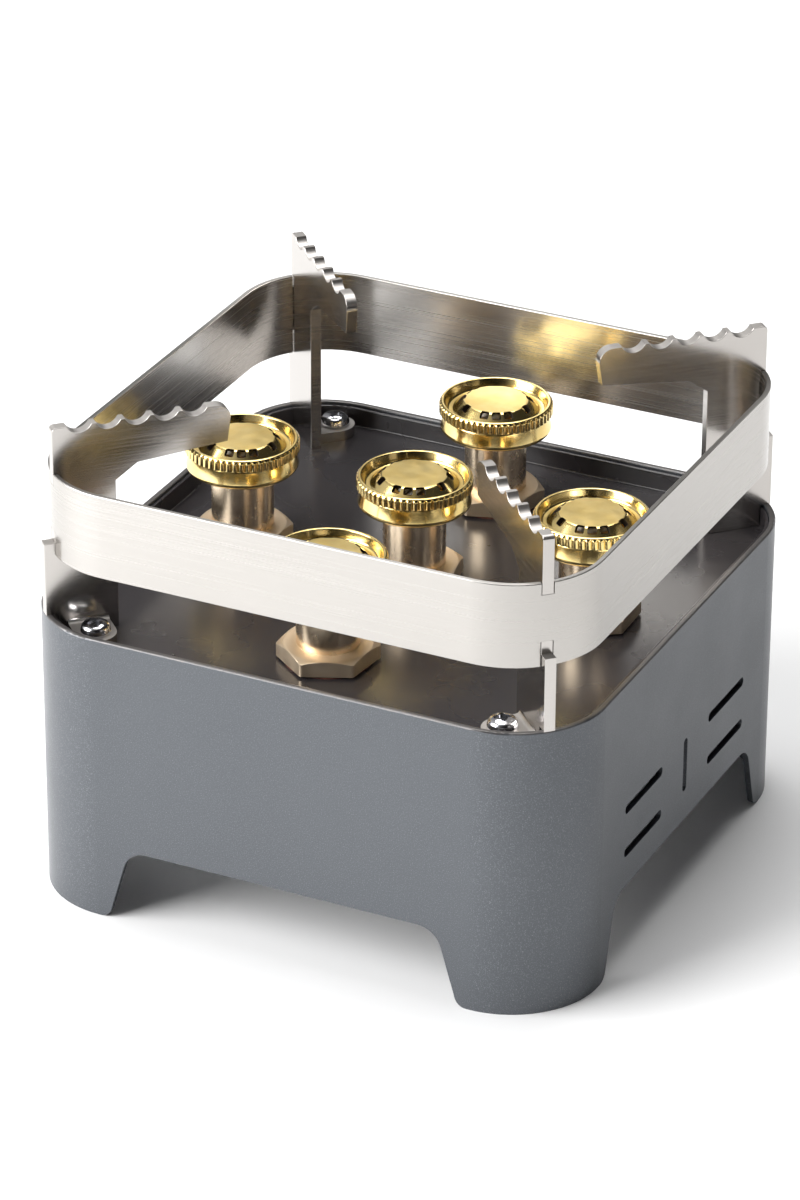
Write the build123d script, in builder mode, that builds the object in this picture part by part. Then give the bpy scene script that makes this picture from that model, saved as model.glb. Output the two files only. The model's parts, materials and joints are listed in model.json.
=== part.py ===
from build123d import *
import os
from math import cos, radians, sin, sqrt

# Alcohol spirit stove: a square sheet-metal casing, a fuel tank under a top plate, five brass
# burners, a heat ring and four toothed pot brackets. Millimetres, +Z up, origin at the centre of
# the four feet.

# Casing
CASING_WIDTH = 115.0
CASING_CORNER_R = 18.5
CASING_WALL = 1.2
RIM_Z = 59.5
RIM_ROUND = 0.35
ARCH_TOP_Z = 15.6
ARCH_HALF_WIDTH_BOTTOM = 36.8
ARCH_HALF_WIDTH_TOP = 32.2
ARCH_CORNER_R = 5.0
FOOT_ROUND = 2.4
VENT_LENGTH = 17.5
VENT_WIDTH = 2.0
VENT_OFFSET_Y = 19.9
VENT_ROW_Z = (23.0, 32.3)
CENTRE_VENT_LENGTH = 11.5
CENTRE_VENT_WIDTH = 1.8
CENTRE_VENT_Z = 27.8

# Top plate, gasket and tank
PLATE_TOP_Z = 55.0
PLATE_WALL = 1.2
PLATE_LIP_WALL = 0.8
PLATE_LIP_Z = 58.9
PLATE_LIP_ROUND = 0.3
PLATE_BEND_ROUND = 0.3
GASKET_THICKNESS = 1.0
TANK_WALL = 0.8
TANK_WIDTH = 96.4
TANK_CORNER_R = 20.0
TANK_FLANGE_WIDTH = 109.0
TANK_FLANGE_CORNER_R = 16.0
TANK_BOTTOM_Z = 20.0
TANK_BOTTOM_ROUND = 4.0

# Heat ring
RING_WIDTH = 111.8
RING_CORNER_R = 18.0
RING_WALL = 1.0
RING_BOTTOM_Z = 71.8
RING_TOP_Z = 88.7
RING_SLIT_TOP_Z = 76.9
RING_NOTCH_Z = 86.3
RING_EDGE_ROUND = 0.2

# Pot brackets, drawn in the upright plane through the stove's axis and a corner
BRACKET_THICKNESS = 2.2
BRACKET_TOP_Z = 98.0
ARM_INNER_R = 36.9
ARM_NOSE_R = 2.8
ARM_NOSE_LEAN = 0.7
ARM_NOSE_BOTTOM_Z = 90.4
ARM_CHAMFER_WIDTH = 4.1
ARM_CHAMFER_HEIGHT = 2.8
LEG_INNER_R = 59.5
SHOULDER_Z = 74.4
LUG_Z = 86.4
LUG_ROUND = 0.8
TOOTH_PITCH = 5.6
TOOTH_COUNT = 5
TOOTH_DEPTH = 1.5
TOOTH_VALLEY_R = 2.6
FIRST_VALLEY_R = 43.9
BRACKET_EDGE_ROUND = 0.1
FOOT_TAB_R = 4.0
SCREW_RADIAL = 65.5
SCREW_OFFSET = 6.0
BEND_ROUND = 1.0

# Bracket screws and nuts
SCREW_R = 1.5
SCREW_HOLE_R = 1.7
SCREW_HEAD_R = 3.0
SCREW_HEAD_HEIGHT = 2.3
SCREW_HEAD_ROUND = 1.4
SCREW_LENGTH = 8.6
SCREW_RECESS_WIDTH = 0.8
SCREW_RECESS_LENGTH = 3.4
SCREW_RECESS_DEPTH = 1.2
NUT_FLATS = 5.5
NUT_HEIGHT = 2.4

# Burners
BURNER_PITCH = 37.0
STEM_R = 6.1
STEM_THREAD_R = 5.0
STEM_BORE_R = 3.8
STEM_SHANK_R = 6.0
STEM_BOTTOM_Z = 48.5
STEM_SHOULDER_Z = 70.6
STEM_TOP_Z = 74.5
HEX_FLATS = 17.2
HEX_HEIGHT = 3.2
HEX_BEVEL = 0.7
SEAL_THICKNESS = 0.5
SEAL_R = 8.4
LOCK_NUT_FLATS = 16.0
LOCK_NUT_HEIGHT = 3.0
WICK_R = 3.5
WICK_TOP_Z = 75.4

# Burner heads
HEAD_R = 11.0
HEAD_WAIST_R = 10.3
KNURL_R = 11.2
HEAD_TOP_Z = 77.0
GROOVE_Z = 74.2
GROOVE_WIDTH = 0.4
GROOVE_DEPTH = 0.3
HEAD_CHAMFER = 0.7
RIM_WIDTH = 0.5
RIM_INNER_R = 10.2
DISH_FLOOR_Z = 75.1
DISH_FLOOR_R = 9.5
CONE_TOP_R = 6.2
CONE_TOP_Z = 77.2
CONE_WALL = 0.9
CONE_TOP_ROUND = 0.3
PORT_WIDTH = 1.7
PORT_HEIGHT = 1.6
PORT_REACH = 1.4
PORT_R = 7.0
PORT_GROUPS = 3
PORT_SPACING_DEG = 20.0
KNURL_COUNT = 54
KNURL_DEPTH = 0.35
HEAD_CLEARANCE = 0.06
HEAD_SEAL_THICKNESS = 0.6
HEAD_SEAL_R = 6.0

# Clearances
FREE_GAP = 0.3
THREAD_GAP = 0.05
SLIT_GAP = 0.15
TOLERANCE = 0.01

DIAGONAL = sqrt(2.0)
CORNERS = {"back_right": 45, "back_left": 135, "front_left": 225, "front_right": 315}
# Burner name: position in pitches along X and Y, turn of the hexagon, turn of the head
BURNERS = {
    "centre": (0, 0, -49, -75),
    "front": (0, -1, -66, -64),
    "right": (1, 0, -58, -66),
    "back": (0, 1, -71, -65),
    "left": (-1, 0, -61, -64),
}

plate_under_z = PLATE_TOP_Z - PLATE_WALL
gasket_under_z = plate_under_z - GASKET_THICKNESS
flange_under_z = gasket_under_z - TANK_WALL
foot_top_z = PLATE_TOP_Z + BRACKET_THICKNESS
hex_bottom_z = PLATE_TOP_Z + SEAL_THICKNESS
inner_width = CASING_WIDTH - 2 * CASING_WALL
inner_corner_r = CASING_CORNER_R - CASING_WALL
tray_width = inner_width - 2 * PLATE_LIP_WALL
tray_corner_r = inner_corner_r - PLATE_LIP_WALL


def corner_reach(width, corner_r):
    """Distance from the axis to a rounded square's corner, measured along the diagonal."""
    return width / 2 * DIAGONAL - corner_r * (DIAGONAL - 1)


def corner_plane(angle):
    """Upright plane through the axis and a corner: X runs outwards, Y runs up."""
    return Plane(
        origin=(0, 0, 0),
        x_dir=(cos(radians(angle)), sin(radians(angle)), 0),
        z_dir=(sin(radians(angle)), -cos(radians(angle)), 0),
    )


def tab_side(angle):
    """The brackets are two mirrored pairs: +1 or -1 is the side their foot tab bends to."""
    return 1 if angle % 180 == 45 else -1


def screw_point(angle):
    """X and Y of a bracket screw."""
    out = Vector(cos(radians(angle)), sin(radians(angle)))
    across = Vector(-sin(radians(angle)), cos(radians(angle)))
    point = out * SCREW_RADIAL + across * (SCREW_OFFSET * tab_side(angle))
    return (point.X, point.Y)


def save(part, name):
    part.label = name
    export_step(part, f"parts/{name}.step")


os.makedirs("parts", exist_ok=True)

screw_points = [screw_point(angle) for angle in CORNERS.values()]
burner_points = {name: (x * BURNER_PITCH, y * BURNER_PITCH) for name, (x, y, _, _) in BURNERS.items()}

# Casing: a rounded square tube, arched between its four feet, with vents in both X walls
with BuildPart() as casing:
    with BuildSketch():
        RectangleRounded(CASING_WIDTH, CASING_WIDTH, CASING_CORNER_R)
        RectangleRounded(inner_width, inner_width, inner_corner_r, mode=Mode.SUBTRACT)
    extrude(amount=RIM_Z)
    fillet(casing.edges().group_by(Axis.Z)[-1], RIM_ROUND)
    for wall_plane in (Plane.XZ, Plane.YZ):
        with BuildSketch(wall_plane) as arch:
            with BuildLine():
                Polyline(
                    (-CASING_WIDTH, -ARCH_TOP_Z),
                    (-CASING_WIDTH, 0),
                    (-ARCH_HALF_WIDTH_BOTTOM, 0),
                    (-ARCH_HALF_WIDTH_TOP, ARCH_TOP_Z),
                    (ARCH_HALF_WIDTH_TOP, ARCH_TOP_Z),
                    (ARCH_HALF_WIDTH_BOTTOM, 0),
                    (CASING_WIDTH, 0),
                    (CASING_WIDTH, -ARCH_TOP_Z),
                    close=True,
                )
            make_face()
            fillet(arch.vertices().group_by(Axis.Y)[-1], ARCH_CORNER_R)
            foot_corners = arch.vertices().group_by(Axis.Y)[1].sort_by(Axis.X)[1:-1]
            fillet(foot_corners, FOOT_ROUND)
        extrude(amount=CASING_WIDTH, both=True, mode=Mode.SUBTRACT)
    with BuildSketch(Plane.YZ):
        with Locations(*[(y, z) for y in (-VENT_OFFSET_Y, VENT_OFFSET_Y) for z in VENT_ROW_Z]):
            SlotOverall(VENT_LENGTH, VENT_WIDTH)
        with Locations((0, CENTRE_VENT_Z)):
            SlotOverall(CENTRE_VENT_LENGTH, CENTRE_VENT_WIDTH, rotation=90)
    extrude(amount=CASING_WIDTH, both=True, mode=Mode.SUBTRACT)
save(casing.part, "casing_shell")

# Top plate: a shallow tray whose upturned lip is pressed into the casing
with BuildPart() as top_plate:
    with BuildSketch(Plane.XY.offset(plate_under_z)):
        RectangleRounded(inner_width, inner_width, inner_corner_r)
    extrude(amount=PLATE_LIP_Z - plate_under_z)
    with BuildSketch(Plane.XY.offset(PLATE_TOP_Z)):
        RectangleRounded(tray_width, tray_width, tray_corner_r)
    extrude(amount=PLATE_LIP_Z - PLATE_TOP_Z, mode=Mode.SUBTRACT)
    tray_floor_edges = top_plate.edges().filter_by_position(Axis.Z, PLATE_TOP_Z, PLATE_TOP_Z)
    fillet(tray_floor_edges, PLATE_BEND_ROUND)
    fillet(top_plate.edges().group_by(Axis.Z)[-1], PLATE_LIP_ROUND)
    with BuildSketch(Plane.XY.offset(plate_under_z)):
        with Locations(*burner_points.values()):
            Circle(STEM_SHANK_R + FREE_GAP)
        with Locations(*screw_points):
            Circle(SCREW_HOLE_R)
    extrude(amount=PLATE_WALL, mode=Mode.SUBTRACT)
save(top_plate.part, "top_plate")

# Gasket between the top plate and the tank's flange
with BuildPart() as gasket:
    with BuildSketch(Plane.XY.offset(gasket_under_z)):
        RectangleRounded(TANK_FLANGE_WIDTH, TANK_FLANGE_WIDTH, TANK_FLANGE_CORNER_R)
        RectangleRounded(TANK_WIDTH, TANK_WIDTH, TANK_CORNER_R, mode=Mode.SUBTRACT)
        with Locations(*screw_points):
            Circle(SCREW_HOLE_R, mode=Mode.SUBTRACT)
    extrude(amount=GASKET_THICKNESS)
save(gasket.part, "tank_gasket")

# Fuel tank: a drawn pan with a flat flange
with BuildPart() as fuel_space:
    with BuildSketch(Plane.XY.offset(TANK_BOTTOM_Z + TANK_WALL)):
        fuel_width = TANK_WIDTH - 2 * TANK_WALL
        RectangleRounded(fuel_width, fuel_width, TANK_CORNER_R - TANK_WALL)
    extrude(amount=gasket_under_z - TANK_BOTTOM_Z - TANK_WALL)
    fillet(fuel_space.edges().group_by(Axis.Z)[0], TANK_BOTTOM_ROUND - TANK_WALL)

with BuildPart() as tank:
    with BuildSketch(Plane.XY.offset(TANK_BOTTOM_Z)):
        RectangleRounded(TANK_WIDTH, TANK_WIDTH, TANK_CORNER_R)
    extrude(amount=flange_under_z - TANK_BOTTOM_Z)
    fillet(tank.edges().group_by(Axis.Z)[0], TANK_BOTTOM_ROUND)
    with BuildSketch(Plane.XY.offset(flange_under_z)):
        RectangleRounded(TANK_FLANGE_WIDTH, TANK_FLANGE_WIDTH, TANK_FLANGE_CORNER_R)
        with Locations(*screw_points):
            Circle(SCREW_HOLE_R, mode=Mode.SUBTRACT)
    extrude(amount=TANK_WALL)
    add(fuel_space.part, mode=Mode.SUBTRACT)
save(tank.part, "fuel_tank")

# Heat ring: a closed band, slit at each corner to hook into the brackets
with BuildPart() as heat_ring:
    with BuildSketch(Plane.XY.offset(RING_BOTTOM_Z)):
        ring_inner_width = RING_WIDTH - 2 * RING_WALL
        RectangleRounded(RING_WIDTH, RING_WIDTH, RING_CORNER_R)
        RectangleRounded(
            ring_inner_width, ring_inner_width, RING_CORNER_R - RING_WALL, mode=Mode.SUBTRACT
        )
    extrude(amount=RING_TOP_Z - RING_BOTTOM_Z)
    fillet(heat_ring.edges().group_by(Axis.Z)[-1], RING_EDGE_ROUND)
    fillet(heat_ring.edges().group_by(Axis.Z)[0], RING_EDGE_ROUND)
    ring_corner_r = corner_reach(RING_WIDTH, RING_CORNER_R)
    for angle in CORNERS.values():
        with BuildSketch(corner_plane(angle)):
            with Locations((ring_corner_r, RING_BOTTOM_Z)):
                Rectangle(4 * RING_WALL, 2 * (RING_SLIT_TOP_Z - RING_BOTTOM_Z))
            with Locations((ring_corner_r, RING_TOP_Z)):
                Rectangle(4 * RING_WALL, 2 * (RING_TOP_Z - RING_NOTCH_Z))
        extrude(amount=BRACKET_THICKNESS / 2 + SLIT_GAP, both=True, mode=Mode.SUBTRACT)
save(heat_ring.part, "heat_ring")


def make_bracket(angle):
    """A leg that stands on the casing's rim and the top plate, with a toothed arm over the ring."""
    casing_outer_r = corner_reach(CASING_WIDTH, CASING_CORNER_R)
    leg_outer_r = corner_reach(tray_width, tray_corner_r) - FREE_GAP
    ring_outer_r = corner_reach(RING_WIDTH, RING_CORNER_R)
    notch_r = ring_outer_r - RING_WALL - FREE_GAP
    plate_plane = corner_plane(angle)
    with BuildPart() as bracket:
        with BuildSketch(plate_plane) as side:
            with BuildLine():
                nose_top = (ARM_INNER_R + ARM_NOSE_R, BRACKET_TOP_Z)
                nose_side = (ARM_INNER_R, BRACKET_TOP_Z - ARM_NOSE_R)
                Polyline(
                    nose_side,
                    (ARM_INNER_R + ARM_NOSE_LEAN, ARM_NOSE_BOTTOM_Z),
                    (LEG_INNER_R - ARM_CHAMFER_WIDTH, RING_TOP_Z),
                    (LEG_INNER_R, RING_TOP_Z - ARM_CHAMFER_HEIGHT),
                    (LEG_INNER_R, PLATE_TOP_Z),
                    (leg_outer_r, PLATE_TOP_Z),
                    (leg_outer_r, RIM_Z),
                    (casing_outer_r, RIM_Z),
                    (casing_outer_r, SHOULDER_Z),
                    (ring_outer_r, SHOULDER_Z),
                    (ring_outer_r, RING_SLIT_TOP_Z),
                    (notch_r, RING_SLIT_TOP_Z),
                    (notch_r, LUG_Z),
                    (ring_outer_r, LUG_Z),
                    (ring_outer_r, BRACKET_TOP_Z),
                    nose_top,
                )
                RadiusArc(nose_top, nose_side, -ARM_NOSE_R)
            make_face()
            lug_corner = side.vertices().group_by(Axis.Y)[-1].sort_by(Axis.X)[-1]
            fillet(lug_corner, LUG_ROUND)
            valleys = [FIRST_VALLEY_R + TOOTH_PITCH * i for i in range(TOOTH_COUNT)]
            with Locations(*[(r, BRACKET_TOP_Z + TOOTH_VALLEY_R - TOOTH_DEPTH) for r in valleys]):
                Circle(TOOTH_VALLEY_R, mode=Mode.SUBTRACT)
        extrude(amount=BRACKET_THICKNESS / 2, both=True)
        fillet(bracket.faces().sort_by(SortBy.AREA)[-2:].edges(), BRACKET_EDGE_ROUND)
        foot_plane = Plane(origin=(0, 0, PLATE_TOP_Z), x_dir=plate_plane.x_dir, z_dir=(0, 0, 1))
        with BuildSketch(foot_plane):
            with Locations((SCREW_RADIAL, SCREW_OFFSET * tab_side(angle) / 2)):
                Rectangle(2 * FOOT_TAB_R, SCREW_OFFSET)
            with Locations((SCREW_RADIAL, SCREW_OFFSET * tab_side(angle))):
                Circle(FOOT_TAB_R)
                Circle(SCREW_HOLE_R, mode=Mode.SUBTRACT)
        extrude(amount=BRACKET_THICKNESS)
        bend_edges = bracket.edges().filter_by(
            lambda edge: abs(edge.center().Z - foot_top_z) < TOLERANCE
            and abs(abs(plate_plane.to_local_coords(edge.center()).Z) - BRACKET_THICKNESS / 2)
            < TOLERANCE
        )
        fillet(bend_edges, BEND_ROUND)
    return bracket.part


for corner, angle in CORNERS.items():
    save(make_bracket(angle), f"pot_bracket_{corner}")

# Cross-recessed pan-head screws that clamp bracket, plate, gasket and tank flange
with BuildPart() as bracket_screws:
    for x, y in screw_points:
        with BuildSketch(Plane.XY.offset(foot_top_z - SCREW_LENGTH)):
            with Locations((x, y)):
                Circle(SCREW_R)
        extrude(amount=SCREW_LENGTH)
        with BuildSketch(Plane.XY.offset(foot_top_z)):
            with Locations((x, y)):
                Circle(SCREW_HEAD_R)
        extrude(amount=SCREW_HEAD_HEIGHT)
    fillet(bracket_screws.edges().group_by(Axis.Z)[-1], SCREW_HEAD_ROUND)
    with BuildSketch(Plane.XY.offset(foot_top_z + SCREW_HEAD_HEIGHT)):
        with Locations(*screw_points):
            Rectangle(SCREW_RECESS_LENGTH, SCREW_RECESS_WIDTH)
            Rectangle(SCREW_RECESS_WIDTH, SCREW_RECESS_LENGTH)
    extrude(amount=-SCREW_RECESS_DEPTH, mode=Mode.SUBTRACT)
save(bracket_screws.part, "bracket_screws")


def hexagon_nuts(points, flats, height, bore_r, top_z, turns):
    """Plain hexagon nuts hanging under top_z, each with its own turn."""
    with BuildPart() as nuts:
        for (x, y), turn in zip(points, turns):
            with BuildSketch(Plane.XY.offset(top_z - height)):
                with Locations((x, y)):
                    RegularPolygon(flats / 2, 6, major_radius=False, rotation=turn)
                    Circle(bore_r, mode=Mode.SUBTRACT)
            extrude(amount=height)
    return nuts.part


no_turns = [0] * len(screw_points)
save(
    hexagon_nuts(screw_points, NUT_FLATS, NUT_HEIGHT, SCREW_R + THREAD_GAP, flange_under_z, no_turns),
    "bracket_nuts",
)

# Burner seals under the hexagons, and lock nuts under the plate
with BuildPart() as burner_seals:
    with BuildSketch(Plane.XY.offset(PLATE_TOP_Z)):
        with Locations(*burner_points.values()):
            Circle(SEAL_R)
            Circle(STEM_SHANK_R + FREE_GAP, mode=Mode.SUBTRACT)
    extrude(amount=SEAL_THICKNESS)
save(burner_seals.part, "burner_seals")

hex_turns = [turn for _, _, turn, _ in BURNERS.values()]
save(
    hexagon_nuts(
        burner_points.values(),
        LOCK_NUT_FLATS,
        LOCK_NUT_HEIGHT,
        STEM_SHANK_R + THREAD_GAP,
        plate_under_z,
        hex_turns,
    ),
    "burner_lock_nuts",
)


def burner_axis_plane(x, y):
    """Upright plane through a burner's axis: X runs outwards, Y runs up."""
    return Plane(origin=(x, y, 0), x_dir=(1, 0, 0), z_dir=(0, -1, 0))


def make_stem(x, y, turn):
    """Threaded tube with a hexagon turned in one piece, bored for the wick."""
    hex_top_z = hex_bottom_z + HEX_HEIGHT
    hex_corner_r = HEX_FLATS / sqrt(3.0)
    with BuildPart() as stem:
        with BuildSketch(Plane.XY.offset(hex_bottom_z)):
            with Locations((x, y)):
                RegularPolygon(HEX_FLATS / 2, 6, major_radius=False, rotation=turn)
        extrude(amount=HEX_HEIGHT)
        with BuildSketch(burner_axis_plane(x, y)):
            with BuildLine():
                Polyline(
                    (0, hex_bottom_z),
                    (hex_corner_r, hex_bottom_z),
                    (hex_corner_r, hex_top_z - HEX_BEVEL),
                    (hex_corner_r - 2 * HEX_BEVEL, hex_top_z),
                    (0, hex_top_z),
                    close=True,
                )
            make_face()
        revolve(axis=Axis((x, y, 0), (0, 0, 1)), mode=Mode.INTERSECT)
        with BuildSketch(burner_axis_plane(x, y)) as tube:
            with BuildLine():
                Polyline(
                    (0, STEM_BOTTOM_Z),
                    (STEM_SHANK_R, STEM_BOTTOM_Z),
                    (STEM_SHANK_R, hex_bottom_z),
                    (STEM_R, hex_bottom_z),
                    (STEM_R, STEM_SHOULDER_Z),
                    (STEM_THREAD_R, STEM_SHOULDER_Z),
                    (STEM_THREAD_R, STEM_TOP_Z),
                    (0, STEM_TOP_Z),
                    close=True,
                )
            make_face()
        revolve(axis=Axis((x, y, 0), (0, 0, 1)))
        with BuildSketch(Plane.XY.offset(STEM_BOTTOM_Z)):
            with Locations((x, y)):
                Circle(STEM_BORE_R)
        extrude(amount=STEM_TOP_Z - STEM_BOTTOM_Z, mode=Mode.SUBTRACT)
    return stem.part


def make_wick(x, y):
    """Round fibre wick from the tank's floor to just under the burner head."""
    wick_bottom_z = TANK_BOTTOM_Z + TANK_WALL
    with BuildPart() as wick:
        with BuildSketch(Plane.XY.offset(wick_bottom_z)):
            with Locations((x, y)):
                Circle(WICK_R)
        extrude(amount=WICK_TOP_Z - wick_bottom_z)
    return wick.part


def make_head_seal(x, y):
    """Fibre washer held in the recess under a burner head."""
    with BuildPart() as seal:
        with BuildSketch(Plane.XY.offset(STEM_SHOULDER_Z)):
            with Locations((x, y)):
                Circle(HEAD_SEAL_R)
                Circle(STEM_THREAD_R + FREE_GAP, mode=Mode.SUBTRACT)
        extrude(amount=HEAD_SEAL_THICKNESS)
    return seal.part


def make_head(x, y, turn):
    """Dished and knurled burner head with a raised cone of flame ports, hollow for the vapour."""
    bore_r = STEM_THREAD_R + HEAD_CLEARANCE
    recess_r = HEAD_SEAL_R + FREE_GAP
    recess_z = STEM_SHOULDER_Z + HEAD_SEAL_THICKNESS
    cone_base_r = CONE_TOP_R + CONE_TOP_Z - DISH_FLOOR_Z
    cavity_base_r = cone_base_r - CONE_WALL * DIAGONAL
    cavity_top_z = CONE_TOP_Z - CONE_WALL
    cavity_top_r = cavity_base_r - (cavity_top_z - DISH_FLOOR_Z)
    groove_r = HEAD_WAIST_R - GROOVE_DEPTH
    with BuildPart() as head:
        with BuildSketch(burner_axis_plane(x, y)):
            with BuildLine():
                Polyline(
                    (recess_r, STEM_SHOULDER_Z),
                    (HEAD_R - HEAD_CHAMFER, STEM_SHOULDER_Z),
                    (HEAD_R, STEM_SHOULDER_Z + HEAD_CHAMFER),
                    (HEAD_WAIST_R, GROOVE_Z),
                    (groove_r, GROOVE_Z),
                    (groove_r, GROOVE_Z + GROOVE_WIDTH),
                    (KNURL_R, GROOVE_Z + GROOVE_WIDTH),
                    (KNURL_R, HEAD_TOP_Z - RIM_WIDTH),
                    (KNURL_R - RIM_WIDTH, HEAD_TOP_Z),
                    (RIM_INNER_R, HEAD_TOP_Z),
                    (DISH_FLOOR_R, DISH_FLOOR_Z),
                    (cone_base_r, DISH_FLOOR_Z),
                    (CONE_TOP_R, CONE_TOP_Z),
                    (0, CONE_TOP_Z),
                    (0, cavity_top_z),
                    (cavity_top_r, cavity_top_z),
                    (cavity_base_r, DISH_FLOOR_Z),
                    (bore_r, STEM_TOP_Z),
                    (bore_r, recess_z),
                    (recess_r, recess_z),
                    close=True,
                )
            make_face()
        revolve(axis=Axis((x, y, 0), (0, 0, 1)))
        fillet(head.edges().group_by(Axis.Z)[-1], CONE_TOP_ROUND)
        port_z = CONE_TOP_Z - (PORT_R - CONE_TOP_R)
        port_angles = []
        for group in range(PORT_GROUPS):
            middle = turn + group * 360 / PORT_GROUPS
            port_angles += [middle - PORT_SPACING_DEG, middle, middle + PORT_SPACING_DEG]
            port_angles.append(middle + 180 / PORT_GROUPS)
        port_planes = [
            Plane(
                origin=(x + PORT_R * cos(radians(a)), y + PORT_R * sin(radians(a)), port_z),
                x_dir=(-sin(radians(a)), cos(radians(a)), 0),
                z_dir=(cos(radians(a)), sin(radians(a)), 1),
            )
            for a in port_angles
        ]
        with BuildSketch(*port_planes):
            Rectangle(PORT_WIDTH, PORT_HEIGHT)
        extrude(amount=PORT_REACH, both=True, mode=Mode.SUBTRACT)
        with BuildSketch(Plane.XY.offset(GROOVE_Z + GROOVE_WIDTH)):
            with Locations((x, y)):
                with PolarLocations(KNURL_R, KNURL_COUNT):
                    RegularPolygon(KNURL_DEPTH, 4)
        extrude(amount=HEAD_TOP_Z - RIM_WIDTH - GROOVE_Z - GROOVE_WIDTH, mode=Mode.SUBTRACT)
    return head.part


for name, (_, _, hex_turn, head_turn) in BURNERS.items():
    x, y = burner_points[name]
    save(make_stem(x, y, hex_turn), f"burner_stem_{name}")
    save(make_wick(x, y), f"wick_{name}")
    save(make_head_seal(x, y), f"head_seal_{name}")
    save(make_head(x, y, head_turn), f"burner_head_{name}")
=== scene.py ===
import json
from math import cos, pi, radians, sin, sqrt

import bpy
from mathutils import Matrix, Vector


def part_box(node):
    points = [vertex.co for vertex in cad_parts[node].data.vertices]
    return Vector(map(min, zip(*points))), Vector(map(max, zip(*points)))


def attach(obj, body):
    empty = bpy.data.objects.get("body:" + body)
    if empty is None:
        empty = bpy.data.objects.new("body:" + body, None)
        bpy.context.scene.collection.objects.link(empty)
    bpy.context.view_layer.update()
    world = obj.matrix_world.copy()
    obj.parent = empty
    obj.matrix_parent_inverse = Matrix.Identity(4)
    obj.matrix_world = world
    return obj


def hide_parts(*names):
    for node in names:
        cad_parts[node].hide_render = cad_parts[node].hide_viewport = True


# Looks of the alcohol spirit stove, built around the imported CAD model. Lengths are in metres.
# Millimetre sizes are written as a number times MM.

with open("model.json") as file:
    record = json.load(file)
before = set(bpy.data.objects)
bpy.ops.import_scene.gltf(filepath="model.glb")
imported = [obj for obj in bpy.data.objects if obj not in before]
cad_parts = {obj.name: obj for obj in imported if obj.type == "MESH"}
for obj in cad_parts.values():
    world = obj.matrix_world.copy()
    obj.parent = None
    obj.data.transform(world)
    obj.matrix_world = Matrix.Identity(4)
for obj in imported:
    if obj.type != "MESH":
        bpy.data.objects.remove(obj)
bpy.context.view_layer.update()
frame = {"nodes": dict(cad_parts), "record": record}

MM = 0.001
NODES = frame["nodes"]
BURNERS = ("centre", "front", "right", "back", "left")
CIRCLE = 2 * pi

# Camera
CAMERA_AZIMUTH = 25.62
CAMERA_ELEVATION = 27.47
CAMERA_ROLL = radians(0.3)
CAMERA_DISTANCE = 1.0228
CAMERA_AIM = Vector((-0.0024, -0.0012, 0.0500))
CAMERA_LENS = 159.0
CAMERA_SENSOR = 36.0

# Studio: each soft box has its azimuth, elevation, distance, size, power and colour
LIGHT_AIM = Vector((0, 0, 0.06))
SOFT_BOXES = {
    "key": (-46, 26, 1.5, 1.15, 42, (1, 1, 1)),
    "fill": (74, 24, 1.6, 0.45, 0.3, (1.0, 0.93, 0.90)),
    "top": (205, 74, 1.5, 1.0, 20, (1, 1, 1)),
}
FLOOR_R = 6.0
FLOOR_STEPS = 96

# Sky: each lobe has its azimuth and elevation, its edges and the levels at them
SKY_BRIGHT = ((-60, 15), (-0.1, 0.95), (0.035, 0.60))
SKY_DARK = ((26, 28), (0.97, 0.72), (0.08, 1.0))

# Burner heads. Insets are measured in from the outer radius, sinks, gaps and the rim's
# chamfer down from the top, and the other levels up from the underside
HEAD_MOUTH_R = 6.3 * MM
HEAD_MOUTH_DEPTH = 0.6 * MM
HEAD_BORE_R = 5.06 * MM
HEAD_BORE_TOP = 3.9 * MM
HEAD_BOWL_INSET = 0.15 * MM
HEAD_BOWL_TOP = 0.9 * MM
HEAD_NECK_INSET = 0.85 * MM
HEAD_GROOVE_INSET = 0.95 * MM
HEAD_FLANGE_Z = 3.6 * MM
HEAD_RIM_CHAMFER = 0.75 * MM
HEAD_RIM_WIDTH = 0.45 * MM
HEAD_RIM_SINK = 0.2 * MM
HEAD_DISH_Z = 4.5 * MM
HEAD_DISH_OUTER_INSET = 1.65 * MM
HEAD_DISH_INNER_INSET = 2.75 * MM
HEAD_CONE_INSET = 4.8 * MM
HEAD_CONE_SINK = 0.05 * MM
HEAD_CROWN_R = 1.2 * MM
HEAD_ROOF_THICKNESS = 0.9 * MM
HEAD_ROOF_R = 5.5 * MM
HEAD_HOLLOW_R = 7.0 * MM
KNURL_COUNT = 54
KNURL_STEPS = 8
KNURL_DEPTH = 0.32 * MM
KNURL_SHARPNESS = 3
KNURL_LOW_Z = 4.0 * MM
KNURL_TOP_GAP = 0.6 * MM
KNURL_INSET = 0.4 * MM
PORT_GROUPS = 3
PORT_SPACING = radians(20)
PORT_R = 6.7 * MM
PORT_SINK = 0.6 * MM
PORT_REACH_IN = 1.3 * MM
PORT_REACH_OUT = 1.6 * MM
PORT_WIDTH = 1.8 * MM
PORT_HEIGHT = 1.75 * MM
BAR_CORNER = 0.22
BAR_CORNER_STEPS = 4
HEAD_TURNS = {"centre": -75, "front": -64, "right": -66, "back": -65, "left": -64}

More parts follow.
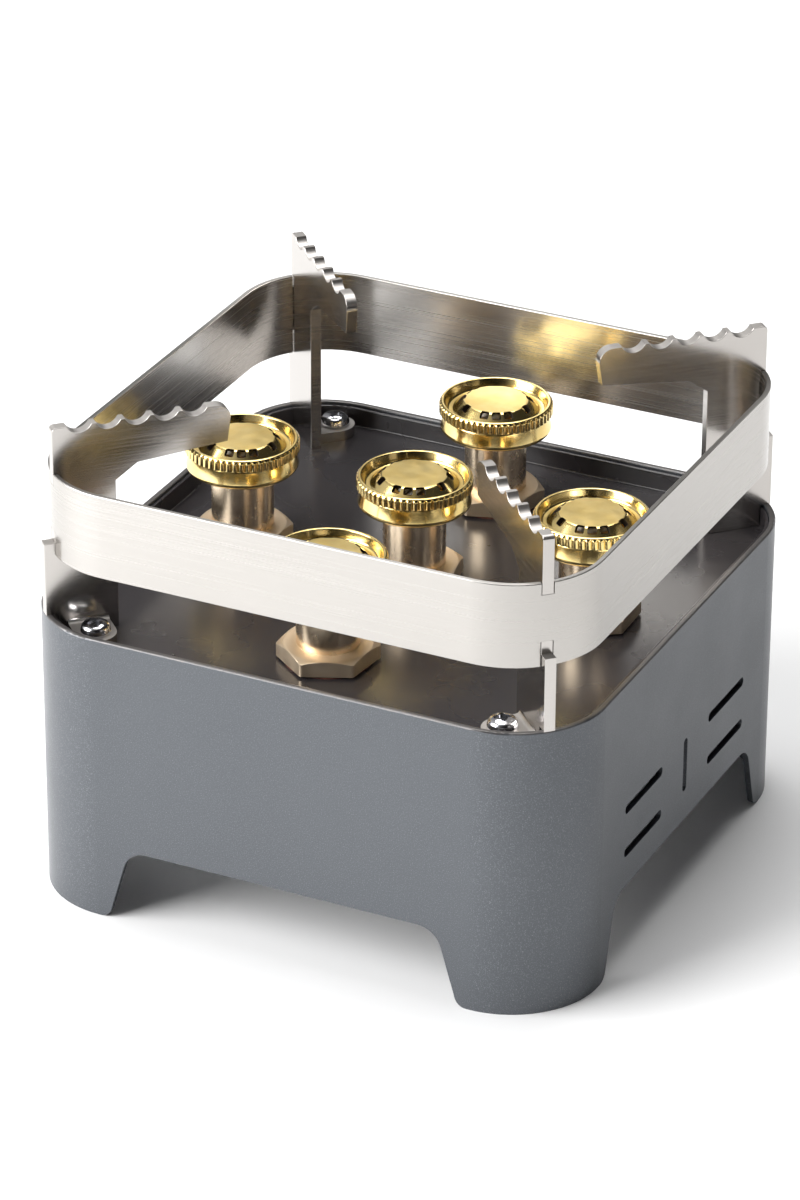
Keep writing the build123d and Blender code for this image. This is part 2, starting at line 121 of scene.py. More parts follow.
# Burner stems
HEX_TURNS = {"centre": -49, "front": -66, "right": -58, "back": -71, "left": -61}
HEX_FLATS = 17.2 * MM
HEX_HEIGHT = 3.2 * MM
HEX_CHAMFER = 0.7 * MM
HEX_CORNER_EASE = 0.12 * MM
HEX_CONE_INSET = 0.1 * MM
HEX_CONE_SLOPE = 2
HEX_STEPS = 360
HEX_SIDE_STEP = 0.5 * MM
HEX_CHAMFER_STEP = 0.05 * MM
TUBE_R = 6.1 * MM
NECK_R = 5.0 * MM
SHANK_R = 6.0 * MM
STEM_BORE_R = 3.8 * MM
STEM_STEPS = 96
STEM_EDGE = 0.25 * MM
STEM_LEAD_IN = 0.4 * MM
STEM_PITCH = 1.0 * MM
STEM_THREAD_DEPTH = 0.5 * MM
SHANK_THREAD_STEP = 0.12 * MM
NECK_THREAD_STEP = 0.08 * MM

# Wicks: one strand in the middle and the others wound round it
WICK_OUTER_STRANDS = 6
WICK_LAY = 14 * MM
WICK_SQUEEZE = 0.94
STRAND_AROUND = 10
STRAND_ALONG = 72
STRAND_FRAY = 0.25
STRAND_FRAY_RINGS = 3
STRAND_LUMP = 0.06
STRAND_LUMPS_AROUND = 5
STRAND_LUMPS_ALONG = 9

# Bracket screws, M3
SCREW_HEAD_R = 3.0 * MM
SCREW_HEAD_HEIGHT = 2.3 * MM
SCREW_SHANK_R = 1.5 * MM
SCREW_PITCH = 0.5 * MM
SCREW_THREAD_DEPTH = 0.28 * MM
SCREW_THREAD_STEP = 0.08 * MM
SCREW_LEAD_IN = 0.25 * MM
SCREW_STEPS = 64
SCREW_FIRST_TURN = 20
SCREW_NEXT_TURN = 35
RECESS_RISE = 0.4 * MM
RECESS_DEPTH = 1.4 * MM
RECESS_TOP = (2.1 * MM, 0.50 * MM)
RECESS_FLOOR = (0.7 * MM, 0.30 * MM)

# Angles between faces, in degrees, past which an edge is shaded sharp
CAD_SHARP = 30
PIECE_SHARP = 35
WICK_SHARP = 80

# Sockets of Blender's Mix node when it mixes colours
MIX_FIRST, MIX_SECOND, MIX_RESULT = 6, 7, 2


# ---------------------------------------------------------------- shader helpers


class Finish:
    """A material's node tree, with short calls for the nodes that the finishes share."""

    def __init__(self, name, **settings):
        self.material = bpy.data.materials.new(name)
        self.material.use_nodes = True
        self.tree = self.material.node_tree
        self.shader = self.tree.nodes["Principled BSDF"]
        for socket, value in settings.items():
            self.shader.inputs[socket.replace("_", " ")].default_value = value
        self.place = self.add("TexCoord").outputs["Object"]

    def add(self, kind):
        return self.tree.nodes.new("ShaderNode" + kind)

    def link(self, source, target):
        self.tree.links.new(source, target)

    def stretched(self, scale):
        """Object coordinates scaled by scale along each axis."""
        mapping = self.add("Mapping")
        mapping.inputs["Scale"].default_value = scale
        self.link(self.place, mapping.inputs["Vector"])
        return mapping.outputs["Vector"]

    def noise(self, scale, detail=3.0, roughness=0.5, place=None):
        node = self.add("TexNoise")
        node.inputs["Scale"].default_value = scale
        node.inputs["Detail"].default_value = detail
        node.inputs["Roughness"].default_value = roughness
        self.link(place or self.place, node.inputs["Vector"])
        return node.outputs["Fac"]

    def spread(self, source, low, high, from_low=0.3, from_high=0.7):
        """source, from from_low to from_high, brought to low to high."""
        node = self.add("MapRange")
        node.inputs["From Min"].default_value = from_low
        node.inputs["From Max"].default_value = from_high
        node.inputs["To Min"].default_value = low
        node.inputs["To Max"].default_value = high
        self.link(source, node.inputs["Value"])
        return node.outputs["Result"]

    def math(self, operation, first, second):
        node = self.add("Math")
        node.operation = operation
        for value, socket in zip((first, second), node.inputs):
            if isinstance(value, (int, float)):
                socket.default_value = value
            else:
                self.link(value, socket)
        return node.outputs["Value"]

    def colours(self, factor, first, second):
        node = self.add("Mix")
        node.data_type = "RGBA"
        self.link(factor, node.inputs["Factor"])
        for value, socket in ((first, node.inputs[MIX_FIRST]), (second, node.inputs[MIX_SECOND])):
            if isinstance(value, tuple):
                socket.default_value = (*value, 1)
            else:
                self.link(value, socket)
        return node.outputs[MIX_RESULT]

    def axis(self, name):
        """One coordinate of the object's place, in metres."""
        node = self.add("SeparateXYZ")
        self.link(self.place, node.inputs["Vector"])
        return node.outputs[name]

    def facing_up(self):
        """1 where the surface faces straight up, 0 where it is upright."""
        upward = self.add("SeparateXYZ")
        self.link(self.add("NewGeometry").outputs["Normal"], upward.inputs["Vector"])
        return upward.outputs["Z"]

    def colour(self, source):
        self.link(source, self.shader.inputs["Base Color"])

    def roughness(self, source):
        self.link(source, self.shader.inputs["Roughness"])

    def bump(self, height, distance, strength):
        node = self.add("Bump")
        node.inputs["Strength"].default_value = strength
        node.inputs["Distance"].default_value = distance
        self.link(height, node.inputs["Height"])
        self.link(node.outputs["Normal"], self.shader.inputs["Normal"])


# ---------------------------------------------------------------- finishes


def casing_paint():
    """Satin grey paint with a fine orange peel, slightly worn along the rim."""
    finish = Finish("casing_paint", Metallic=0.55, IOR=1.5)
    rim_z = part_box("casing_shell")[1].z
    clouds = finish.noise(22, 4)
    paint = finish.colours(clouds, (0.094, 0.101, 0.112), (0.107, 0.115, 0.127))
    fleck = finish.spread(finish.noise(5200, 1), 0.0, 0.35, 0.55, 0.8)
    flecked = finish.colours(fleck, paint, (0.42, 0.44, 0.46))
    chips = finish.math("MULTIPLY", finish.noise(900, 2), 0.5 * MM)
    height = finish.math("ADD", finish.axis("Z"), chips)
    worn = finish.spread(height, 0.0, 1.0, rim_z - 0.15 * MM, rim_z + 0.25 * MM)
    finish.colour(finish.colours(worn, flecked, (0.17, 0.16, 0.155)))
    finish.roughness(finish.spread(finish.noise(60, 3), 0.30, 0.38))
    orange_peel = finish.noise(1400, 3)
    finish.bump(orange_peel, 0.035 * MM, 0.5)
    return finish.material


def plate_enamel():
    """Dark glossy coating with a little dust."""
    finish = Finish("plate_enamel", IOR=1.52, Coat_Weight=0.3, Coat_Roughness=0.14)
    clouds = finish.noise(35, 4)
    enamel = finish.colours(clouds, (0.026, 0.023, 0.025), (0.040, 0.036, 0.038))
    dust = finish.spread(finish.noise(3500, 2), 0.0, 0.05, 0.62, 0.8)
    finish.colour(finish.colours(dust, enamel, (0.24, 0.22, 0.21)))
    finish.roughness(finish.spread(finish.noise(60, 3), 0.25, 0.30))
    finish.bump(finish.noise(900, 2), 0.01 * MM, 0.25)
    return finish.material


def steel(name, colour, shade, rough, brush_scale, brush_depth, smear=0.0, edge_rough=0.0):
    """Steel with a fine brushing: brush_scale is how dense the lines are along each axis.
    smear is how far level brushing draws reflections out up and down. edge_rough is how much
    rougher the sheared edges that face up are."""
    finish = Finish(name, Metallic=1.0, Anisotropic=smear, Anisotropic_Rotation=0.25)
    if smear:
        level = finish.add("Tangent")
        level.direction_type = "RADIAL"
        level.axis = "Z"
        finish.link(level.outputs["Tangent"], finish.shader.inputs["Tangent"])
    brushing = finish.noise(1.0, 3, 0.6, finish.stretched(brush_scale))
    stains = finish.noise(30, 4)
    streaks = finish.math("MULTIPLY", brushing, 0.55)
    tone = finish.math("ADD", streaks, finish.math("MULTIPLY", stains, 0.45))
    finish.colour(finish.colours(finish.spread(tone, 0, 1), shade, colour))
    edges = finish.spread(finish.facing_up(), 0.0, edge_rough, 0.3, 0.8)
    face = finish.spread(brushing, rough - 0.05, rough + 0.07)
    finish.roughness(finish.math("ADD", face, edges))
    finish.bump(brushing, brush_depth, 0.6)
    return finish.material


def turned_brass(name, colour, shade, rough, top_rough, low_rough=0.0, low_z=0.0):
    """Brass off the lathe: fine lines round it, light tarnish and satin level faces.
    Below low_z it is rougher by low_rough."""
    finish = Finish(name, Metallic=1.0)
    tarnish = finish.spread(finish.noise(180, 4, 0.6), 0.0, 1.0)
    finish.colour(finish.colours(tarnish, shade, colour))
    lines = finish.noise(1.0, 2, 0.5, finish.stretched((120, 120, 9000)))
    satin = finish.spread(finish.facing_up(), 0.0, top_rough - rough, 0.90, 0.99)
    patchy = finish.spread(finish.noise(400, 3), rough - 0.03, rough + 0.05)
    turned = finish.math("ADD", patchy, satin)
    milled = finish.spread(finish.axis("Z"), low_rough, 0.0, low_z, low_z + 0.2 * MM)
    finish.roughness(finish.math("ADD", turned, milled))
    finish.bump(lines, 0.003 * MM, 0.5)
    return finish.material


def fibre(name, colour, shade, grain):
    """Matt pressed or spun fibre."""
    finish = Finish(name, Roughness=0.85)
    strands = finish.noise(grain, 5, 0.65)
    finish.colour(finish.colours(finish.spread(strands, 0, 1), shade, colour))
    finish.bump(strands, 0.08 * MM, 0.8)
    return finish.material


def painted_port_shade():
    """Dull brown-black painted shade on the flame ports' walls, for the dark inside of the holes."""
    finish = Finish("painted_port_shade", Roughness=0.8)
    patches = finish.noise(1500, 3)
    finish.colour(finish.colours(patches, (0.012, 0.007, 0.004), (0.035, 0.020, 0.010)))
    return finish.material


def floor_finish():
    """Plain pale floor."""
    finish = Finish("floor_finish", Roughness=0.7)
    clouds = finish.noise(3, 2)
    finish.colour(finish.colours(clouds, (0.93, 0.93, 0.93), (0.95, 0.95, 0.95)))
    return finish.material


FINISHES = {
    "casing_paint": casing_paint(),
    "plate_enamel": plate_enamel(),
    "ring_steel": steel(
        "ring_steel",
        colour=(0.52, 0.50, 0.475),
        shade=(0.465, 0.445, 0.42),
        rough=0.23,
        brush_scale=(12, 12, 5200),
        brush_depth=0.003 * MM,
        smear=0.55,
        edge_rough=0.2,
    ),
    "bracket_steel": steel(
        "bracket_steel",
        colour=(0.56, 0.535, 0.51),
        shade=(0.48, 0.455, 0.43),
        rough=0.18,
        brush_scale=(40, 40, 5000),
        brush_depth=0.002 * MM,
        edge_rough=0.3,
    ),
    "tank_steel": steel(
        "tank_steel",
        colour=(0.58, 0.58, 0.59),
        shade=(0.48, 0.48, 0.49),
        rough=0.34,
        brush_scale=(2500, 40, 40),
        brush_depth=0.010 * MM,
    ),
    "fastener_steel": steel(
        "fastener_steel",
        colour=(0.80, 0.80, 0.82),
        shade=(0.62, 0.62, 0.65),
        rough=0.14,
        brush_scale=(900, 900, 900),
        brush_depth=0.006 * MM,
    ),
    "stem_brass": turned_brass(
        "stem_brass",
        colour=(0.94, 0.78, 0.58),
        shade=(0.87, 0.70, 0.50),
        rough=0.24,
        top_rough=0.36,
        low_rough=0.20,
        low_z=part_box("burner_seals")[1].z + HEX_HEIGHT,
    ),
    "head_brass": turned_brass(
        "head_brass",
        colour=(0.93, 0.74, 0.34),
        shade=(0.84, 0.62, 0.22),
        rough=0.14,
        top_rough=0.42,
    ),
    "seal_fibre": fibre("seal_fibre", (0.20, 0.075, 0.045), (0.12, 0.045, 0.030), 1500),
    "gasket_fibre": fibre("gasket_fibre", (0.045, 0.045, 0.045), (0.02, 0.02, 0.02), 900),
    "wick_fibre": fibre("wick_fibre", (0.80, 0.76, 0.68), (0.60, 0.55, 0.46), 2600),
}
# Near-black finish for the port walls: painted shade in the holes
PAINTED_PORT_SHADE = painted_port_shade()


# ---------------------------------------------------------------- mesh helpers


def make_piece(name, vertices, faces, finish, body, *nodes, sharp=PIECE_SHARP):
    """A smooth-shaded piece that rides on body and stands for the CAD nodes."""
    mesh = bpy.data.meshes.new(name)
    mesh.from_pydata(vertices, [], faces)
    mesh.validate()
    mesh.shade_smooth()
    mesh.set_sharp_from_angle(angle=radians(sharp))
    mesh.materials.append(FINISHES[finish])
    piece = bpy.data.objects.new(name, mesh)
    bpy.context.scene.collection.objects.link(piece)
    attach(piece, body)
    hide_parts(*nodes)
    return piece


def rounded(corners, steps=5):
    """Profile points (radius, height) from corners (radius, height, rounding)."""
    points = []
    count = len(corners)
    for i, (r, z, size) in enumerate(corners):
        here = Vector((r, z))
        back = Vector(corners[i - 1][:2]) - here
        ahead = Vector(corners[(i + 1) % count][:2]) - here
        reach = min(size, 0.45 * back.length, 0.45 * ahead.length)
        if reach < 1e-6:
            points.append(here)
            continue
        first = here + back.normalized() * reach
        last = here + ahead.normalized() * reach
        for step in range(steps + 1):
            t = step / steps
            points.append(first * (1 - t) ** 2 + here * (2 * t * (1 - t)) + last * t**2)
    return points


def lathe(profile, steps, centre, reach=None):
    """Vertices and faces of the closed profile turned about centre's upright axis.
    reach(radius, height, angle) may change a point's radius."""
    vertices, faces = [], []
    for step in range(steps):
        angle = CIRCLE * step / steps
        for r, z in profile:
            out = reach(r, z, angle) if reach else r
            vertices.append((centre.x + out * cos(angle), centre.y + out * sin(angle), z))
    count = len(profile)
    for step in range(steps):
        here, there = step * count, (step + 1) % steps * count
        for i in range(count):
            j = (i + 1) % count
            faces.append((here + i, there + i, there + j, here + j))
    return vertices, faces


def axis_of(node):
    """Centre of a CAD node's box, on its lowest level."""
    low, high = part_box(node)
    return Vector(((low.x + high.x) / 2, (low.y + high.y) / 2, low.z))


def join(*shapes):
    """One list of vertices and one of faces from several shapes."""
    vertices, faces = [], []
    for some_vertices, some_faces in shapes:
        start = len(vertices)
        vertices += some_vertices
        faces += [tuple(start + i for i in face) for face in some_faces]
    return vertices, faces


def cut(piece, vertices, faces, material):
    """Takes the cutter's volume out of the piece. The cut walls get the material."""
    mesh = bpy.data.meshes.new("cutter")
    mesh.from_pydata(vertices, [], faces)
    mesh.materials.append(material)
    cutter = bpy.data.objects.new("cutter", mesh)
    bpy.context.scene.collection.objects.link(cutter)
    modifier = piece.modifiers.new("cut", "BOOLEAN")
    modifier.operation = "DIFFERENCE"
    modifier.solver = "EXACT"
    modifier.material_mode = "TRANSFER"
    modifier.object = cutter
    bpy.context.view_layer.update()
    graph = bpy.context.evaluated_depsgraph_get()
    cut_mesh = bpy.data.meshes.new_from_object(piece.evaluated_get(graph))
    piece.modifiers.remove(modifier)
    piece.data = cut_mesh
    bpy.data.objects.remove(cutter)


def bar(start, end, across, width, height):
    """A straight bar with rounded long edges from start to end: a cutter."""
    along = (end - start).normalized()
    up = along.cross(across).normalized()
    side = across.normalized()
    vertices, outline = [], []
    corner = BAR_CORNER * min(width, height)
    for sx, sy, first in ((1, 1, 0), (-1, 1, 90), (-1, -1, 180), (1, -1, 270)):
        for step in range(BAR_CORNER_STEPS):
            angle = radians(first + 90 * step / (BAR_CORNER_STEPS - 1))
            a = sx * (width / 2 - corner) + corner * cos(angle)
            b = sy * (height / 2 - corner) + corner * sin(angle)
            outline.append((a, b))
    for end_point in (start, end):
        vertices += [tuple(end_point + side * a + up * b) for a, b in outline]
    count = len(outline)
    faces = [tuple(reversed(range(count))), tuple(range(count, 2 * count))]
    for i in range(count):
        j = (i + 1) % count
        faces.append((i, j, count + j, count + i))
    return vertices, faces


# ---------------------------------------------------------------- burners


def head_profile(low, high, outer_r):
    """Closed section of a burner head, from under its rim to its raised cone and hollow."""
    flange_z = low + HEAD_FLANGE_Z
    groove_r = outer_r - HEAD_GROOVE_INSET
    rim_z = high - HEAD_RIM_SINK
    dish_z = low + HEAD_DISH_Z
    roof_z = high - HEAD_ROOF_THICKNESS
    mouth_z = low + HEAD_MOUTH_DEPTH
    return rounded(
        [
            (HEAD_MOUTH_R, low, 0.1 * MM),
            (groove_r, low, 0.7 * MM),
            (outer_r - HEAD_BOWL_INSET, low + HEAD_BOWL_TOP, 0.5 * MM),
            (outer_r - HEAD_NECK_INSET, flange_z - 0.1 * MM, 0.12 * MM),
            (groove_r, flange_z + 0.1 * MM, 0.08 * MM),
            (groove_r, flange_z + 0.35 * MM, 0.08 * MM),
            (outer_r, flange_z + 0.45 * MM, 0.1 * MM),
            (outer_r, high - HEAD_RIM_CHAMFER, 0.15 * MM),
            (outer_r - HEAD_RIM_WIDTH, rim_z, 0.25 * MM),
            (groove_r, rim_z, 0.25 * MM),
            (outer_r - HEAD_DISH_OUTER_INSET, dish_z, 0.5 * MM),
            (outer_r - HEAD_DISH_INNER_INSET, dish_z, 0.5 * MM),
            (outer_r - HEAD_CONE_INSET, high - HEAD_CONE_SINK, 0.5 * MM),
            (HEAD_CROWN_R, high, 0.3 * MM),
            (0.0, high, 0.0),
            (0.0, roof_z, 0.0),
            (HEAD_ROOF_R, roof_z, 0.3 * MM),
            (HEAD_HOLLOW_R, dish_z, 0.3 * MM),
            (HEAD_BORE_R, low + HEAD_BORE_TOP, 0.1 * MM),
            (HEAD_BORE_R, mouth_z, 0.05 * MM),
            (HEAD_MOUTH_R, mouth_z, 0.05 * MM),
        ]
    )


def knurled(low, high, outer_r):
    """Straight knurling on the flange's side: rounded ridges with narrow grooves."""
    band_low, band_high = low + KNURL_LOW_Z, high - KNURL_TOP_GAP

    def reach(r, z, angle):
        on_flange = r > outer_r - KNURL_INSET and band_low < z < band_high
        if not on_flange:
            return r
        groove = (0.5 + 0.5 * cos(KNURL_COUNT * angle)) ** KNURL_SHARPNESS
        return r - KNURL_DEPTH * groove

    return reach


def port_cutters(centre, high, turn):
    """Cutters of the flame ports: per third of a turn, three together and one between."""
    angles = []
    for group in range(PORT_GROUPS):
        middle = turn + group * CIRCLE / PORT_GROUPS
        between = middle + CIRCLE / PORT_GROUPS / 2
        angles += [middle - PORT_SPACING, middle, middle + PORT_SPACING, between]
    shapes = []
    for angle in angles:
        out = Vector((cos(angle), sin(angle), 0))
        across = Vector((-sin(angle), cos(angle), 0))
        port = Vector((centre.x, centre.y, high - PORT_SINK)) + out * PORT_R
        slope = (out + Vector((0, 0, 1))).normalized()
        start, end = port - slope * PORT_REACH_IN, port + slope * PORT_REACH_OUT
        shapes.append(bar(start, end, across, PORT_WIDTH, PORT_HEIGHT))
    return join(*shapes)


def make_head(name):
    """Dished and knurled cap with its flame ports. It rides on its own body."""
    node = "burner_head_" + name
    low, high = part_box(node)
    outer_r = (high.x - low.x) / 2
    shape = lathe(
        head_profile(low.z, high.z, outer_r),
        KNURL_COUNT * KNURL_STEPS,
        axis_of(node),
        knurled(low.z, high.z, outer_r),
    )
    piece = make_piece(node + "_turned", *shape, "head_brass", name + "_head", node)
    # The ports' cut walls get the near-black painted shade
    cut(piece, *port_cutters(axis_of(node), high.z, radians(HEAD_TURNS[name])), PAINTED_PORT_SHADE)


def thread(r, pitch, depth, low, high):
    """Radius change that makes a triangular screw thread between two levels."""

    def reach(out, z, angle):
        if abs(out - r) > 1e-6 or not low < z < high:
            return out
        phase = (z / pitch - angle / CIRCLE) % 1.0
        fade = min(1.0, (z - low) / pitch, (high - z) / pitch)
        return out - depth * abs(2 * phase - 1) * fade

    return reach


def stepped(low, high, step):
    """Levels between low and high, both left out, at most step apart."""
    count = max(1, round((high - low) / step))
    return [low + (high - low) * i / count for i in range(1, count)]


def stem_shape(name):
    """Threaded neck, tube, hexagon and threaded shank, turned and milled in one piece."""
    node = "burner_stem_" + name
    low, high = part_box(node)
    seal_low, seal_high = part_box("burner_seals")
    plate_z, hex_low = seal_low.z, seal_high.z
    shoulder_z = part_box("head_seal_" + name)[0].z
    profile = [Vector((STEM_BORE_R, low.z)), Vector((SHANK_R - STEM_LEAD_IN, low.z))]
    profile += [Vector((SHANK_R, z)) for z in stepped(low.z, plate_z, SHANK_THREAD_STEP)]
    profile += rounded(
        [
            (SHANK_R, plate_z, 0),
            (SHANK_R, hex_low, 0),
            (TUBE_R, hex_low, 0),
            (TUBE_R, shoulder_z, STEM_EDGE),
            (NECK_R - STEM_LEAD_IN, shoulder_z, 0),
        ]
    )[:-1]
    profile += [Vector((NECK_R, z)) for z in stepped(shoulder_z, high.z, NECK_THREAD_STEP)]
    profile += [Vector((NECK_R - STEM_LEAD_IN, high.z)), Vector((STEM_BORE_R, high.z))]
    shank_thread = thread(SHANK_R, STEM_PITCH, STEM_THREAD_DEPTH, low.z, plate_z)
    neck_thread = thread(NECK_R, STEM_PITCH, STEM_THREAD_DEPTH, shoulder_z, high.z)
    tube = lathe(
        profile,
        STEM_STEPS,
        axis_of(node),
        lambda r, z, angle: neck_thread(shank_thread(r, z, angle), z, angle),
    )
    return join(tube, hexagon(axis_of(node), hex_low, radians(HEX_TURNS[name])))


def hexagon(centre, low, turn):
    """Hexagon with eased corners and a turned chamfer at its top, bored for its tube."""
    corner_r = HEX_FLATS / sqrt(3)
    high = low + HEX_HEIGHT
    chamfer_z = high - HEX_CHAMFER
    levels = [low] + stepped(low, chamfer_z, HEX_SIDE_STEP) + [chamfer_z]
    levels += stepped(chamfer_z, high, HEX_CHAMFER_STEP) + [high]
    profile = [Vector((TUBE_R, low))]
    profile += [Vector((corner_r, z)) for z in levels]
    profile += [Vector((TUBE_R, high))]

    def reach(r, z, angle):
        if r <= TUBE_R:
            return r
        from_flat = (angle - turn + pi / 6) % (pi / 3) - pi / 6
        flat_r = HEX_FLATS / 2 / cos(from_flat)
        eased_r = min(flat_r, corner_r - HEX_CORNER_EASE)
        cone_r = corner_r - HEX_CONE_INSET - HEX_CONE_SLOPE * max(0.0, z - chamfer_z)
        return min(eased_r, cone_r)

    return lathe(profile, HEX_STEPS, centre, reach)


def make_stem(name):
    """Tube, hexagon and threads of one burner."""
    node = "burner_stem_" + name
    make_piece(node + "_turned", *stem_shape(name), "stem_brass", "stove", node)


def strand(centre, orbit_r, strand_r, phase, low, high, twist):
    """One strand of a wick, wound round the wick's axis."""
    vertices, faces = [], []
    for i in range(STRAND_ALONG + 1):
        z = low + (high - low) * i / STRAND_ALONG
        angle = phase + twist * (z - low)
        into_end = max(0.0, (i - STRAND_ALONG + STRAND_FRAY_RINGS) / STRAND_FRAY_RINGS)
        ring_r = strand_r * (1.0 - STRAND_FRAY * into_end)
        middle = Vector((centre.x + orbit_r * cos(angle), centre.y + orbit_r * sin(angle), z))
        for j in range(STRAND_AROUND):
            turn = CIRCLE * j / STRAND_AROUND
            wave = sin(STRAND_LUMPS_AROUND * turn + STRAND_LUMPS_ALONG * angle)
            out = ring_r * (1 + STRAND_LUMP * wave)
            vertices.append(tuple(middle + Vector((out * cos(turn), out * sin(turn), 0))))
    for i in range(STRAND_ALONG):
        here, above = i * STRAND_AROUND, (i + 1) * STRAND_AROUND
        for j in range(STRAND_AROUND):
            k = (j + 1) % STRAND_AROUND
            faces.append((here + j, here + k, above + k, above + j))
    last = STRAND_ALONG * STRAND_AROUND
    faces.append(tuple(reversed(range(STRAND_AROUND))))
    faces.append(tuple(last + j for j in range(STRAND_AROUND)))
    return vertices, faces


def make_wick(name):
    """Twisted wick of one burner."""
    node = "wick_" + name
    low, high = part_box(node)
    outer_r = (high.x - low.x) / 2
    strand_r = outer_r / 3
    twist = CIRCLE / WICK_LAY
    shapes = [strand(axis_of(node), 0.0, strand_r, 0.0, low.z, high.z, twist)]
    for i in range(WICK_OUTER_STRANDS):
        phase = i * CIRCLE / WICK_OUTER_STRANDS
        outer_strand_r = strand_r * WICK_SQUEEZE
        shapes.append(strand(axis_of(node), 2 * strand_r, outer_strand_r, phase, low.z, high.z, twist))
    make_piece(node + "_twisted", *join(*shapes), "wick_fibre", "stove", node, sharp=WICK_SHARP)


# ---------------------------------------------------------------- screws


def screw_centres():
    """Axis points of the bracket screws, from the solids in their shared node."""
    low_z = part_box("bracket_screws")[0].z
    mesh = NODES["bracket_screws"].data
    centres = []
    for sx in (-1, 1):
        for sy in (-1, 1):
            mine = [v.co for v in mesh.vertices if v.co.x * sx > 0 and v.co.y * sy > 0]
            xs = [co.x for co in mine]
            ys = [co.y for co in mine]
            centres.append(Vector(((min(xs) + max(xs)) / 2, (min(ys) + max(ys)) / 2, low_z)))
    return centres


def cross_recess(centre, high, turn):
    """Two crossing cutters of a cross recess that narrows towards its floor."""
    shapes = []
    for quarter in (0, pi / 2):
        angle = turn + quarter
        out = Vector((cos(angle), sin(angle), 0))
        side = Vector((-sin(angle), cos(angle), 0))
        top = Vector((centre.x, centre.y, high + RECESS_RISE))
        deep = Vector((centre.x, centre.y, high - RECESS_DEPTH))
        vertices = []
        for level, (length, width) in ((deep, RECESS_FLOOR), (top, RECESS_TOP)):
            for a, b in ((1, 1), (-1, 1), (-1, -1), (1, -1)):
                vertices.append(tuple(level + out * (a * length) + side * (b * width)))
        faces = [(3, 2, 1, 0), (4, 5, 6, 7), (0, 1, 5, 4), (1, 2, 6, 5), (2, 3, 7, 6), (3, 0, 4, 7)]
        shapes.append((vertices, faces))
    return shapes


def make_screw(index, centre):
    """Pan-head screw with a cross recess and its thread."""
    low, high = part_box("bracket_screws")
    head_low = high.z - SCREW_HEAD_HEIGHT
    profile = [Vector((0.0, low.z)), Vector((SCREW_SHANK_R - SCREW_LEAD_IN, low.z))]
    profile += [Vector((SCREW_SHANK_R, z)) for z in stepped(low.z, head_low, SCREW_THREAD_STEP)]
    profile += rounded(
        [
            (SCREW_SHANK_R, head_low, 0),
            (SCREW_HEAD_R - 0.05 * MM, head_low, 0.1 * MM),
            (SCREW_HEAD_R, head_low + 0.5 * MM, 0.3 * MM),
            (SCREW_HEAD_R - 0.35 * MM, high.z - 0.55 * MM, 0.9 * MM),
            (1.2 * MM, high.z, 1.0 * MM),
            (0.0, high.z, 0),
        ]
    )
    screw_thread = thread(SCREW_SHANK_R, SCREW_PITCH, SCREW_THREAD_DEPTH, low.z, head_low)
    shape = lathe(profile, SCREW_STEPS, centre, screw_thread)
    name = f"bracket_screw_{index}"
    piece = make_piece(name, *shape, "fastener_steel", "stove", "bracket_screws")
    for cutter in cross_recess(centre, high.z, radians(SCREW_FIRST_TURN + SCREW_NEXT_TURN * index)):
        cut(piece, *cutter, FINISHES["fastener_steel"])


# ---------------------------------------------------------------- stage


def direction(azimuth, elevation):
    """Unit vector away from the stove. Azimuth 0 is its front, and angles are in degrees."""
    a, e = radians(azimuth), radians(elevation)
    return Vector((sin(a) * cos(e), -cos(a) * cos(e), sin(e)))


def place_camera():
    """Camera of the main view."""
    back = direction(CAMERA_AZIMUTH, CAMERA_ELEVATION)
    data = bpy.data.cameras.new("camera")
    data.lens = CAMERA_LENS
    data.sensor_width = CAMERA_SENSOR
    camera = bpy.data.objects.new("camera", data)
    camera.location = CAMERA_AIM + back * CAMERA_DISTANCE
    turn = (-back).to_track_quat("-Z", "Y").to_matrix() @ Matrix.Rotation(CAMERA_ROLL, 3, "Z")
    camera.rotation_euler = turn.to_euler()
    bpy.context.scene.collection.objects.link(camera)
    bpy.context.scene.camera = camera


def soft_light(name, azimuth, elevation, distance, size, power, colour):
    """A square soft box that faces the stove."""
    back = direction(azimuth, elevation)
    data = bpy.data.lights.new(name, "AREA")
    data.shape = "SQUARE"
    data.size = size
    data.energy = power
    data.color = colour
    light = bpy.data.objects.new(name, data)
    light.location = LIGHT_AIM + back * distance
    light.rotation_euler = (-back).to_track_quat("-Z", "Y").to_euler()
    light.visible_camera = False
    bpy.context.scene.collection.objects.link(light)


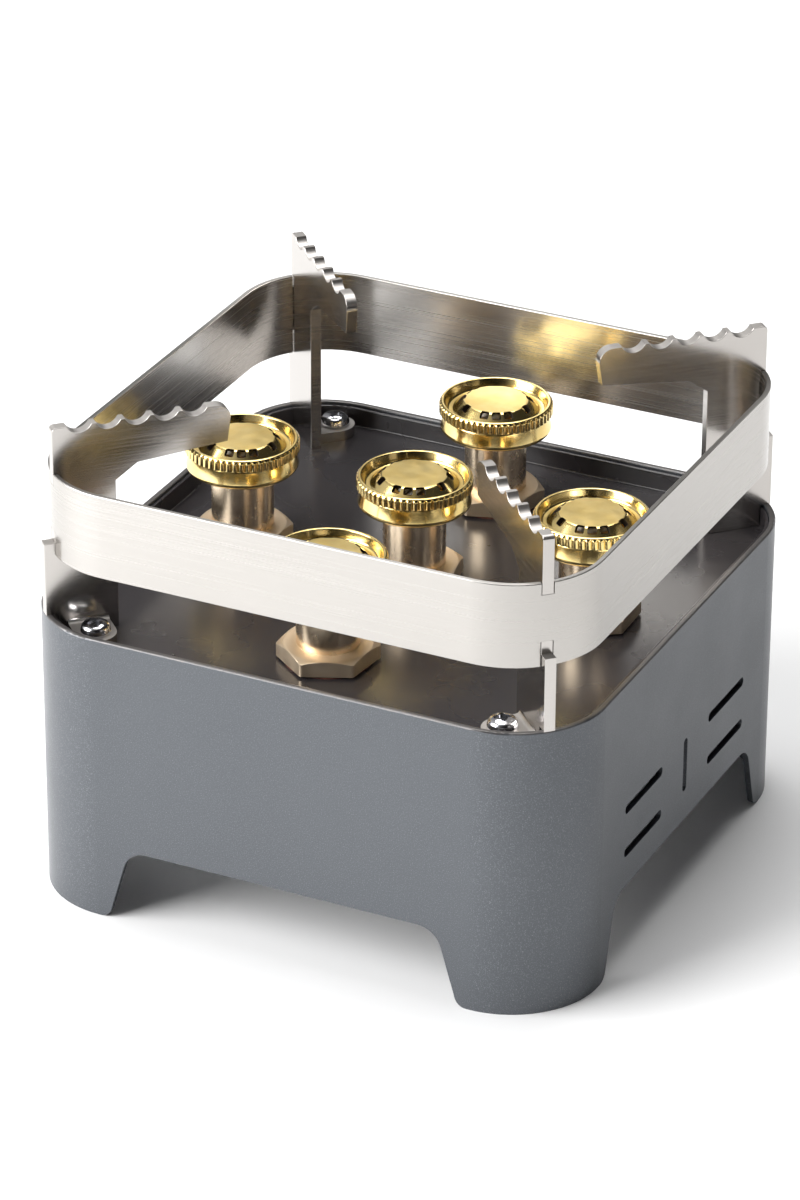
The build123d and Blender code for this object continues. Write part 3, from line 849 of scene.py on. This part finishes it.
def make_floor():
    """A wide pale floor: a flat disc."""
    angles = [CIRCLE * i / FLOOR_STEPS for i in range(FLOOR_STEPS)]
    rim = [(FLOOR_R * cos(angle), FLOOR_R * sin(angle), 0.0) for angle in angles]
    mesh = bpy.data.meshes.new("floor")
    mesh.from_pydata(rim, [], [tuple(range(FLOOR_STEPS))])
    mesh.materials.append(floor_finish())
    floor_object = bpy.data.objects.new("floor", mesh)
    bpy.context.scene.collection.objects.link(floor_object)


def sky_lobe(tree, place, edges, levels):
    """Brightness over the sky. It runs smoothly from one level to the other as the view
    direction's dot product with the lobe's own direction goes between the edges."""
    sky = tree.nodes.new("ShaderNodeTexCoord")
    towards = tree.nodes.new("ShaderNodeVectorMath")
    towards.operation = "DOT_PRODUCT"
    towards.inputs[1].default_value = direction(*place)
    tree.links.new(sky.outputs["Generated"], towards.inputs[0])
    ramp = tree.nodes.new("ShaderNodeMapRange")
    ramp.interpolation_type = "SMOOTHSTEP"
    ramp.inputs["From Min"].default_value, ramp.inputs["From Max"].default_value = edges
    ramp.inputs["To Min"].default_value, ramp.inputs["To Max"].default_value = levels
    tree.links.new(towards.outputs["Value"], ramp.inputs["Value"])
    return ramp.outputs["Result"]


def make_world():
    """A plain pale studio, brighter to the front left and darker to the front right."""
    world = bpy.data.worlds.new("studio")
    world.use_nodes = True
    bpy.context.scene.world = world
    tree = world.node_tree
    background = tree.nodes["Background"]
    strength = tree.nodes.new("ShaderNodeMath")
    strength.operation = "MULTIPLY"
    tree.links.new(sky_lobe(tree, *SKY_BRIGHT), strength.inputs[0])
    tree.links.new(sky_lobe(tree, *SKY_DARK), strength.inputs[1])
    tree.links.new(strength.outputs["Value"], background.inputs["Strength"])
    background.inputs["Color"].default_value = (1.0, 1.0, 1.0, 1.0)


# ---------------------------------------------------------------- assembly


def finish_cad_nodes():
    """Gives every CAD node its slot's finish and smooth shading."""
    for part in frame["record"]["subparts"]:
        node = NODES[part["node"]]
        node.data.materials.clear()
        node.data.materials.append(FINISHES[part["material_slot"]])
        node.data.shade_smooth()
        node.data.set_sharp_from_angle(angle=radians(CAD_SHARP))


place_camera()
make_floor()
make_world()
for light_name, settings in SOFT_BOXES.items():
    soft_light(light_name, *settings)
finish_cad_nodes()
for burner in BURNERS:
    make_head(burner)
    make_stem(burner)
    make_wick(burner)
for number, middle in enumerate(screw_centres(), 1):
    make_screw(number, middle)
bpy.context.scene.view_settings.view_transform = "Standard"
